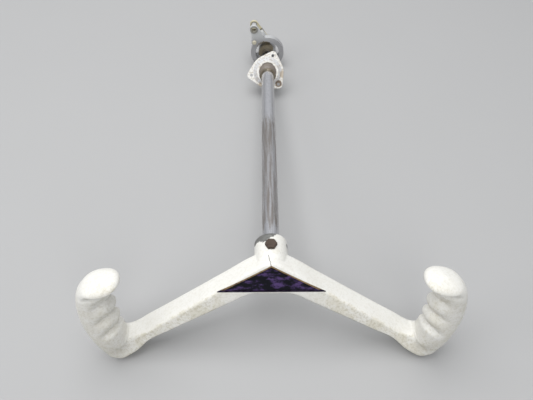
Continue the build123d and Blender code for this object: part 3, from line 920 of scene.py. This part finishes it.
    def grip_depth_at(self, share: Array) -> Array:
        """Half depth of the grip at a share of its height, which changes evenly up to the neck."""
        return self.grip_half_depth + (self.neck_half_depth - self.grip_half_depth) * share

    def grip_outer_at(self, share: Array) -> Array:
        """X of the grip's outer side at a share of its height, which bows as a parabola about its peak."""
        return self.grip_outer - self.grip_bow * (share / self.grip_bow_peak - 1) ** 2

    def arm_rows(self) -> Array:
        """Sections of the right arm: the crest falls in a straight line from the shoulder, the belly is level
        under the web and then falls in a straight line.

        Returns:
            Rows of section values.
        """
        u = np.concatenate([[0.0], np.linspace(self.arch_half_width, self.arm_end, self.arm_sections)])
        row = np.arange(len(u))
        upper_u = u + self.splay * (row > 1)
        lower_u = u - self.splay * np.where(row > 1, 1.0, 0.5 * (row == 1))
        crest = self.shoulder[1] - np.tan(np.radians(self.crest_angle)) * (upper_u - self.shoulder[0])
        crest[0] = self.crest_top
        fall = np.tan(np.radians(self.belly_angle)) * np.maximum(lower_u - self.arch_half_width, 0.0)
        points = (self.arm_points(upper_u, crest), self.arm_points(lower_u, -self.arch - fall))
        rest = np.tile([self.arm_half_depth, 0.0, self.arm_power, -1.0, 0.0, 0.0, self.crest_fall], (len(u), 1))
        rest[0, -1] = self.crest_fall_on_axis
        return np.column_stack([*points, rest])

    def elbow_rows(self) -> Array:
        """Sections that fan round the crotch from the arm's direction up into the grip's: each has its own
        angle and reach, and its Y, depth and power ease from the arm's to the grip's.

        Returns:
            Rows of section values.
        """
        degrees, reach = np.array(self.elbow_fan).T
        angle = np.radians(degrees)
        share = np.arange(1, len(reach) + 1) / (len(reach) + 1)
        x0, z0 = self.crotch
        lean = np.tan(np.radians(self.lean))
        points = []
        for out, level in ((self.crotch_radius, z0 + 0.0 * reach), (reach, z0 - reach)):
            y = (1 - share) * (self.arm_y + level * lean) + share * self.grip_y
            points.append(np.column_stack([x0 + out * np.cos(angle), y, z0 + out * np.sin(angle)]))
        deeper, rounder = self.grip_half_depth - self.arm_half_depth, self.grip_power - self.arm_power
        depth = self.arm_half_depth + deeper * share**self.elbow_depth_ease
        power = self.arm_power + rounder * share**self.elbow_power_ease
        marks = np.column_stack([self.elbow_groove, self.elbow_crease, self.elbow_fall])
        return np.column_stack([*points, depth, 0.0 * depth, power, self.ridges_at(points[0][:, 2]), marks])

    def grip_rows(self) -> Array:
        """Sections up the grip, two for each finger, whose outer side bows and whose planes slant down to the
        outside.

        Returns:
            Rows of section values.
        """
        half = np.arange(2 * self.finger_count)
        share = half / len(half)
        z = self.neck_height - self.finger_pitch / 2 * (len(half) - 1 - half)
        y = self.grip_y + self.neck_set_back * share
        inner = self.grip_inner + self.neck_notch * (half == half[-1])
        upper = np.column_stack([inner, y, z])
        lower = np.column_stack([self.grip_outer_at(share), y, z - self.finger_slant * (1 - share)])
        power = np.full(len(half), self.grip_power)
        rest = np.column_stack([self.grip_depth_at(share), 0.0 * share, power, self.ridges_at(z)])
        return np.column_stack([upper, lower, rest, np.tile([1.0, 0.0, 0.0], (len(half), 1))])

    def hook_rows(self) -> Array:
        """Sections of the knob's hook: its inner side comes in by sin(pi u / 2) from the neck's notch to the
        tip, its outer side widens by u (0.6 + 0.4 u), and its front is hollowed under the cap.

        Returns:
            Rows of section values.
        """
        u = np.array(self.hook_shares)
        ease = smoothstep(0.0, 1.0, u)
        last = 1 - 0.5 / self.finger_count
        notch = self.grip_inner + self.neck_notch
        side, deep = self.grip_outer_at(last), self.grip_depth_at(last)
        z = self.neck_height + self.knob_rise * u
        y = self.grip_y + self.neck_set_back * last * (1 - ease)
        upper = np.column_stack([notch + (self.knob_tip - notch) * np.sin(np.pi / 2 * u), y, z])
        outer = side + (self.knob_tip + self.knob_width - side) * u * (0.6 + 0.4 * u)
        slant = self.finger_slant * 0.5 / self.finger_count
        lower = np.column_stack([outer, y, z - slant - (self.knob_tilt - slant) * u])
        depth = deep + (self.knob_half_depth - deep) * ease
        hollow = self.knob_hollow * smoothstep(0.0, 0.6, u) * smoothstep(1.0, 0.88, u)
        groove = 1 - smoothstep(0.0, 0.5, u)
        rest = (np.full(len(u), self.grip_power), self.ridges_at(z), groove, 0.0 * u, 0.0 * u)
        return np.column_stack([upper, lower, depth, hollow, *rest])

    def dome_rows(self) -> Array:
        """Sections of the knob's dome: one of size s lies at the height sin(a), where cos(a) is s to the power
        of 1 / p. Its outer side tapers a little more.

        Returns:
            Rows of section values.
        """
        size = np.array(self.dome_sizes)
        angle = np.arccos(size ** (1 / self.dome_power))
        half = self.knob_width / 2
        middle = self.knob_tip + half
        z = self.neck_height + self.knob_rise + self.dome_height * np.sin(angle)
        y = np.full(len(size), self.grip_y)
        upper = np.column_stack([middle - half * size, y, z])
        outer = middle + half * size * (1 - self.dome_taper * np.sin(angle))
        lower = np.column_stack([outer, y, z - self.knob_tilt * size])
        rest = (np.full(len(size), self.grip_power), self.ridges_at(z), np.zeros((len(size), 3)))
        return np.column_stack([upper, lower, self.knob_half_depth * size, 0.0 * size, *rest])

    def run(self) -> Sections:
        """All sections from the left knob to the right one, read closely along the run.

        Returns:
            The sections.
        """
        knob = (self.hook_rows(), self.dome_rows())
        right = np.vstack([self.arm_rows(), self.elbow_rows(), self.grip_rows(), *knob])
        left = right[:0:-1].copy()
        left[:, [0, 3]] *= -1
        rows = np.vstack([left, right])
        travel = np.linalg.norm(np.diff(rows[:, 0:3], axis=0), axis=1)
        travel = (travel + np.linalg.norm(np.diff(rows[:, 3:6], axis=0), axis=1)) / 2
        knots = np.concatenate([[0.0], np.cumsum(travel)])
        on_arm = np.abs(rows[:-1, 0] + rows[1:, 0]) / 2 < self.arm_end
        counts = np.ceil(travel / np.where(on_arm, self.arm_step, self.grip_step)).astype(int)
        counts = np.maximum(counts, 2)
        span = np.repeat(np.arange(len(counts)), counts)
        local = (np.arange(len(span)) - np.repeat(np.cumsum(counts) - counts, counts)) / counts[span]
        samples = np.append(knots[span] + local * travel[span], knots[-1])
        return Sections.of(smooth_run(knots, rows, samples))

    def horn_grid(self) -> Array:
        """The horn's surface. Each section is a superellipse, x = half |cos|^(2 / n), y = depth |sin|^(2 / n)
        with their signs, x from its upper outline point to its lower one and y to the back. The grooves sink
        it along its own normal. Then its crest is sheared down towards the front, the knob's front is
        hollowed, and near the hub the web's back swells into a fillet.

        Returns:
            A grid of points, along the run and round the section, with a pole at each end.
        """
        s = self.run()
        turn = np.linspace(0.0, 2.0 * np.pi, self.horn_columns, endpoint=False)[None, :]
        c, d = np.cos(turn), np.sin(turn)
        along = s.lower - s.upper
        half = np.linalg.norm(along, axis=1, keepdims=True) / 2
        a = along / (2 * half)
        b = unit(np.array([0.0, 1.0, 0.0]) - a[:, 1:2] * a)
        depth, power = s.depth[:, None], s.power[:, None]
        x = half * np.sign(c) * np.abs(c) ** (2 / power)
        y = depth * np.sign(d) * np.abs(d) ** (2 / power)
        slope_x = np.sign(c) * np.abs(c) ** (2 - 2 / power) / half
        slope_y = np.sign(d) * np.abs(d) ** (2 - 2 / power) / depth
        sink = self.groove_sink(s, x + half, y, c) + self.crease_sink(s, c, d)
        steep = np.hypot(slope_x, slope_y)
        x, y = x - sink * slope_x / steep, y - sink * slope_y / steep
        x = x + s.fall[:, None] * (1 - y / depth) / 2 * (1 - x / half) / 2
        y = y + s.hollow[:, None] * smoothstep(*self.hollow_side, c) * smoothstep(*self.hollow_front, d)
        middle = (s.upper + s.lower) / 2
        grid = middle[:, None, :] + x[..., None] * a[:, None, :] + y[..., None] * b[:, None, :]
        swell = self.fillet(np.hypot(grid[..., 0], grid[..., 2]) - self.hub_radius)
        grid += swell[..., None] * b[:, None, :] * np.maximum(d, 0.0)[..., None]
        ends = [np.repeat(grid[row].mean(axis=0)[None, :], self.horn_columns, axis=0)[None] for row in (0, -1)]
        return np.concatenate([ends[0], grid, ends[1]])

    def groove_sink(self, s: Sections, x: Array, y: Array, c: Array) -> Array:
        """Depth of the finger grooves: 1 - |cos(pi r)| of the full depth on the inner side, where r is the
        height in ridges, moved by x and y so that each groove falls to the outside and leans to the front.

        Args:
            s: The sections.
            x: Distance from the inner side.
            y: Distance from the middle, to the back.
            c: Cosine of the way round the section, -1 on the inner side.

        Returns:
            The depth at each point.
        """
        shift = y * np.tan(np.radians(self.finger_lean)) + x * np.tan(np.radians(self.finger_fall))
        ridge = s.ridge[:, None] + shift / self.finger_pitch
        valley = (1 - np.abs(np.cos(np.pi * ridge))) * smoothstep(-1.0, -0.7, ridge)
        return self.groove_depth * s.groove[:, None] * valley * smoothstep(*self.groove_side, c)

    def crease_sink(self, s: Sections, c: Array, d: Array) -> Array:
        """Depth of the crease in the crotch, on the inner side's front."""
        window = smoothstep(*self.crease_side, c) * smoothstep(*self.crease_front, d)
        return self.crotch_crease * s.crease[:, None] * window

    def fillet(self, away: Array) -> Array:
        """How far a fillet of size k stands proud at a distance b from the corner: k (1 - sqrt(b / k))^2."""
        away = np.clip(away, self.hub_fillet / 4, self.hub_fillet)
        return self.hub_fillet * (1 - np.sqrt(away / self.hub_fillet)) ** 2

    def hub_grid(self) -> Array:
        """The hub: a round bar about the axis with a rounded rear edge, flared where it meets the web's back.
        Its front closes in a nose whose radius is R sqrt(1 - s^2), s the share of the nose's length.

        Returns:
            A grid of points along the hub and round it, with a pole at each end.
        """
        turn = np.linspace(0.0, 2.0 * np.pi, self.hub_columns, endpoint=False)[None, :]
        edge = np.radians(np.linspace(0.0, 90.0, self.edge_rows))[1:]
        nose = np.radians(np.linspace(90.0, 0.0, self.nose_rows))
        nose_y = self.arm_y + 0.5 * self.hub_nose - self.hub_nose * np.sin(nose)
        edge_y = self.hub_rear - self.hub_edge
        side_y = np.linspace(nose_y[-1], edge_y, self.side_rows)[1:]
        y = np.concatenate([nose_y, side_y, edge_y + self.hub_edge * np.sin(edge), [self.hub_rear]])[:, None]
        rim = self.hub_radius - self.hub_edge * (1 - np.cos(edge))
        side = np.full(len(side_y), self.hub_radius)
        radius = np.concatenate([self.hub_radius * np.cos(nose), side, rim, [0.0]])[:, None]
        lean = np.radians(self.lean)
        z = radius * np.sin(turn)
        away = (y - self.arm_y) * np.cos(lean) - z * np.sin(lean) - self.arm_half_depth
        wide = radius + self.fillet(away) * smoothstep(*self.hub_flare_fade, z) * (radius > 0)
        return np.stack([wide * np.cos(turn), y + 0.0 * turn, wide * np.sin(turn)], axis=-1)

    def badge_prism(self) -> Array:
        """A three-sided prism over the badge's recess: its corners in the web's front plane, moved along the
        plane's normal from the recess's floor to well above it.

        Returns:
            A grid of points, with a pole at each end.
        """
        u, v = np.array(self.badge_corners).T
        corners = self.arm_points(u, v) + self.front * self.arm_half_depth
        middle = np.repeat(corners.mean(axis=0)[None], 3, axis=0)
        low, high = -self.badge_recess * self.front, self.arm_half_depth * self.front
        return np.stack([middle + low, corners + low, corners + high, middle + high])

    def build(self) -> bpy.types.Object:
        """Joins the horn and the hub, cuts the bore, the bolt's spot faces and the badge's recess, and enamels
        the whole.

        Returns:
            The casting.
        """
        piece = shell("yoke_casting", self.horn_grid())
        combine(piece, shell("hub", self.hub_grid()), Cut.JOIN)
        ends = (self.hub_rear - self.bore_depth, self.hub_rear + self.cut_clearance)
        bore = rod_grid(self.bore_radius, *ends, self.bore_columns)[..., [0, 2, 1]]
        combine(piece, shell("bore", bore), Cut.REMOVE)
        top = self.hub_radius + self.bolt_spot
        bolt = np.array([0.0, self.hub_rear - self.bolt_back, 0.0])
        for low, high in ((self.bolt_seat, top), (-top, -self.bolt_seat)):
            spot = bolt + rod_grid(self.bolt_spot, low, high, self.spot_columns)
            combine(piece, shell("spot", spot), Cut.REMOVE)
        combine(piece, shell("recess", self.badge_prism()), Cut.REMOVE)
        smooth_faces(piece)
        self.mark_grime_and_shade(piece)
        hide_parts("yoke_wheel")
        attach(piece, "column")
        piece.data.materials.append(self.enamel.material())
        return piece

    def mark_grime_and_shade(self, piece: bpy.types.Object) -> None:
        """Stores how much grime and painted shade each point holds: grime most on the arms' fronts and the
        grips, painted shade on faces that look down such as the bellies, least on the caps.

        Args:
            piece: The casting.
        """
        mesh = piece.data
        count = len(mesh.vertices)
        place, normal = np.empty(3 * count), np.empty(3 * count)
        mesh.vertices.foreach_get("co", place)
        mesh.vertices.foreach_get("normal", normal)
        x, _, z = place.reshape(-1, 3).T / MM
        out = np.abs(x)
        normal = normal.reshape(-1, 3)
        facing = smoothstep(0.3, 0.8, normal @ self.front)
        # Painted shade: faces that look down are darkened, under the arms and elbows.
        under = smoothstep(0.1, -0.5, normal[:, 2])
        arm = smoothstep(*self.grime_arm, out) * smoothstep(*self.grime_grip[::-1], out)
        grip = (1 - arm) * (1 - smoothstep(*self.grime_cap, z)) * (out > self.grime_grip[0])
        # Grime on the arms' fronts and the grips, and painted shade on faces that look down.
        grime = 0.12 + 0.75 * facing * arm + 0.45 * under + 0.25 * grip
        layer = mesh.attributes.new(self.enamel.grime_and_shade_attribute, "FLOAT", "POINT")
        layer.data.foreach_set("value", np.clip(grime, 0.0, 1.0).astype(np.float32))


def dress(finish: Finish, *nodes: str) -> None:
    """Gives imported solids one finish.

    Args:
        finish: The finish.
        *nodes: Names of the solids.
    """
    material = finish.material()
    for node in nodes:
        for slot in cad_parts[node].material_slots:
            slot.material = material
        LOG.info("dressed %s as %s", node, material.name)


@dataclass(frozen=True)
class Plating:
    """Finishes of small steel parts."""

    plain: WornMetal = WornMetal("plated_steel", (0.52, 0.50, 0.45), (0.20, 0.15, 0.09), 0.45, (0.32, 0.62))
    rusted: WornMetal = WornMetal(
        "rusted_head", (0.085, 0.060, 0.045), (0.045, 0.030, 0.022), 0.55, (0.55, 0.8), metallic=0.5,
        scale=420.0, relief=0.2,
    )


@dataclass
class Column:
    """The sliding shaft with its plugs, cross bolts and badge."""

    plating: Plating
    tube: FilmedMetal = FilmedMetal(
        "polished_tube", (0.62, 0.62, 0.64), (0.17, 0.148, 0.13), 0.52, (0.10, 0.42), effect=Effect.STREAKS,
        scale=480.0, dirt_metal=0.55, relief=0.012, film=(-278.0, -111.0),
    )
    plug: WornMetal = WornMetal("turned_plug", (0.55, 0.55, 0.55), (0.25, 0.24, 0.22), 0.4, (0.35, 0.5))
    # Painted shade: the rim turns dark violet below about z = -11 mm, along its bottom edge.
    gilt: BandedMetal = BandedMetal(
        "gilt_rim", (0.50, 0.34, 0.17), (0.13, 0.08, 0.045), 0.66, (0.32, 0.6), scale=300.0,
        level=-10.5, fade=-0.7,
    )
    lacquer: DarkLacquer = DarkLacquer("badge_lacquer")

    def dress(self) -> None:
        """Finishes every solid of the column apart from the yoke and the crank."""
        dress(self.tube, "shaft_tube")
        dress(self.plating.rusted, "hub_bolt")
        dress(self.gilt, "badge_rim")
        dress(self.lacquer, "badge_plate")
        dress(self.plug, "hub_plug", "crank_plug")
        small = (f"{end}_{kind}" for end in ("hub", "crank") for kind in ("washer", "nut", "cotter_pin"))
        dress(self.plating.plain, "crank_bolt", *small)


@dataclass
class PanelBearing:
    """The white flange, with the ball and the liner that turn in it."""

    plating: Plating
    enamel: FlangeEnamel = FlangeEnamel(
        "flange_enamel",
        chips=(Spot((14.3, -9.7, -11.9), 4.4, 3.0),),
        stains=(Spot((20.5, -4.0, -2.0), 5.0, 6.0), Spot((-9.0, -11.0, -15.0), 5.0, 6.0)),
        paint=(0.86, 0.85, 0.81),
        grime=(0.40, 0.30, 0.18),
        grime_cover=0.42,
        grime_strength=0.7,
        stain_strength=0.9,
        speck_cover=0.46,
        metal=(0.075, 0.055, 0.038),
    )
    phenolic: WornMetal = WornMetal(
        "moulded_ball", (0.20, 0.17, 0.145), (0.10, 0.075, 0.06), 0.5, (0.42, 0.62), metallic=0.0, scale=300.0,
        relief=0.12,
    )
    bronze: WornMetal = WornMetal("bronze_liner", (0.40, 0.35, 0.27), (0.17, 0.12, 0.08), 0.5, (0.35, 0.6))

    def dress(self) -> None:
        """Finishes the flange, the ball, the liner and their rings."""
        dress(self.enamel, "panel_flange")
        dress(self.phenolic, "ball_bush")
        dress(self.bronze, "bush_liner")
        dress(self.plating.plain, "ball_retainer", "snap_ring", "liner_clip")


@dataclass
class Crank:
    """The aileron crank: grey casting, yellowish far cheek and their fasteners."""

    plating: Plating
    casting: BandedMetal = BandedMetal(
        "grey_casting", (0.43, 0.43, 0.44), (0.27, 0.26, 0.24), 0.42, (0.42, 0.6), metallic=0.3, scale=90.0,
        relief=0.12, grease_and_shade=(Spot((-3.0, 49.0, 6.0), 11.5, 9.0),),
        level=15.0, fade=12.0, band=(0.60, 0.61, 0.61),
    )
    # Painted shade: the dark spots listed as grease on this cheek darken its face in the gap between the two
    # cheeks.
    cheek: WornMetal = WornMetal(
        "yellow_plating", (0.72, 0.66, 0.46), (0.30, 0.20, 0.10), 0.40, (0.42, 0.6), metallic=0.2, scale=150.0,
        grease_and_shade=(Spot((-17.8, 64.3, 22.0), 6.5, 2.0), Spot((-7.5, 65.0, 25.0), 4.0, 4.0)),
        grease_and_shade_colour=(0.06, 0.045, 0.028),
    )
    nub: WornMetal = WornMetal(
        "cream_nub", (0.62, 0.58, 0.45), (0.28, 0.22, 0.13), 0.42, (0.5, 0.7), metallic=0.0,
    )
    bush: WornMetal = WornMetal("clevis_bronze", (0.50, 0.49, 0.45), (0.26, 0.23, 0.18), 0.45, (0.32, 0.6))

    def dress(self) -> None:
        """Finishes the crank's solids."""
        dress(self.casting, "crank_wheel")
        dress(self.cheek, "rear_cheek")
        dress(self.bush, "clevis_bushes")
        dress(self.nub, "lug_bolt")
        dress(self.plating.plain, "cheek_dowel", "lug_nut")


@dataclass(frozen=True)
class Lamp:
    """A broad square lamp, in metres and watts."""

    name: str
    place: Place
    aim: Place
    size: float
    power: float

    def hang(self) -> None:
        """Puts the lamp in its place, turned to what it lights."""
        light = bpy.data.lights.new(self.name, "AREA")
        light.energy, light.size = self.power, self.size
        holder = bpy.data.objects.new(self.name, light)
        turn = (Vector(self.aim) - Vector(self.place)).to_track_quat("-Z", "Y")
        holder.matrix_world = Matrix.Translation(Vector(self.place)) @ turn.to_matrix().to_4x4()
        bpy.context.scene.collection.objects.link(holder)


@dataclass
class Stage:
    """Camera, soft light and a plain pale floor that the yoke's elbows and the crank rest on."""

    eye: Place = (-6.5, -607.4, 362.3)
    view: Place = (0.0059, 0.7112, -0.7030)
    down: Place = (-0.0059, -0.7030, -0.7112)
    focal_px: float = 520.0
    image_width_px: int = 533
    sensor_width: float = 36.0
    clip_start: float = 0.01
    floor_low: Pair = (-358.0, -84.1)
    floor_high: Pair = (54.0, -22.8)
    floor_half: float = 4000.0
    floor_colour: Colour = (0.42, 0.42, 0.42)
    floor_roughness: float = 0.9
    sky_colour: Colour = (0.95, 0.97, 1.0)
    sky_heights: Pair = (-0.1, 0.9)
    sky_levels: Pair = (0.50, 1.25)
    sky_unseen: float = 0.46
    sky_seen: float = 0.80
    lamps: tuple[Lamp, ...] = (
        Lamp("overhead", (-0.25, -0.30, 1.70), (0.0, -0.25, -0.05), 1.6, 27.0),
        Lamp("left", (-1.60, -0.90, 1.00), (0.0, -0.30, -0.03), 1.0, 6.0),
        Lamp("front", (0.30, -1.75, 1.10), (0.0, -0.35, -0.02), 1.0, 7.0),
    )

    def build(self) -> None:
        """Sets up the camera, the floor and the lights."""
        self.place_camera()
        self.lay_floor()
        self.paint_sky()
        for lamp in self.lamps:
            lamp.hang()
        bpy.context.scene.view_settings.view_transform = "Standard"

    def place_camera(self) -> None:
        """Puts the camera where the photograph's lines of sight meet."""
        camera = bpy.data.cameras.new("camera")
        camera.sensor_fit = "HORIZONTAL"
        camera.sensor_width = self.sensor_width
        camera.lens = self.sensor_width * self.focal_px / self.image_width_px
        camera.clip_start = self.clip_start
        back = -Vector(self.view).normalized()
        up = -Vector(self.down)
        up = (up - back * up.dot(back)).normalized()
        right = up.cross(back)
        turn = Matrix((right, up, back)).transposed().to_4x4()
        holder = bpy.data.objects.new("camera", camera)
        holder.matrix_world = Matrix.Translation(Vector(self.eye) * MM) @ turn
        bpy.context.scene.collection.objects.link(holder)
        bpy.context.scene.camera = holder

    def lay_floor(self) -> None:
        """A flat sheet through the two lines that the object rests on: z rises evenly with y."""
        side = np.linspace(-self.floor_half, self.floor_half, 3)
        x, y = np.meshgrid(side, side, indexing="ij")
        slope = (self.floor_high[1] - self.floor_low[1]) / (self.floor_high[0] - self.floor_low[0])
        z = self.floor_low[1] + slope * (y - self.floor_low[0])
        floor = shell("floor", np.stack([x, y, z], axis=-1), Wrap.OPEN)
        sheet = FinishSheet("floor_paper")
        colour = sheet.blend(sheet.grain(6.0, 3.0), self.floor_colour, shade(self.floor_colour, 0.97))
        sheet.feed({"Base Color": colour, "Roughness": self.floor_roughness})
        floor.data.materials.append(sheet.material)

    def paint_sky(self) -> None:
        """A pale world, brighter overhead, and brighter in what is mirrored than in what it lights."""
        world = bpy.data.worlds.new("studio")
        world.use_nodes = True
        sheet = NodeSheet(world.node_tree)
        background = next(n for n in world.node_tree.nodes if n.type == "BACKGROUND")
        path = sheet.add("ShaderNodeLightPath").outputs
        seen = sheet.most(path["Is Camera Ray"], path["Is Glossy Ray"])
        around = sheet.add("ShaderNodeTexCoord").outputs["Generated"]
        height = sheet.add("ShaderNodeSeparateXYZ", {0: around}).outputs[2]
        levels = (height, *self.sky_heights, *self.sky_levels)
        sky = sheet.add("ShaderNodeMapRange", dict(enumerate(levels))).outputs[0]
        strength = sheet.times(sheet.span(seen, self.sky_unseen, self.sky_seen), sky)
        sheet.plug(background.inputs["Strength"], strength)
        sheet.plug(background.inputs["Color"], (*self.sky_colour, 1.0))
        bpy.context.scene.world = world


def corners(bounds: tuple[Vector, Vector]) -> list[list[float]]:
    """A box's two corners as plain lists."""
    return [[float(c) for c in corner] for corner in bounds]


def main() -> None:
    """Builds and dresses each sub-assembly in turn."""
    logging.basicConfig(level=logging.INFO, format="%(name)s: %(message)s")
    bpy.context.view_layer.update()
    plating = Plating()
    Stage().build()
    casting = YokeWheel().build()
    LOG.info("cast %s with %d faces", casting.name, len(casting.data.polygons))
    for assembly in (Column(plating), PanelBearing(plating), Crank(plating)):
        assembly.dress()


if __name__ == "__main__":
    main()
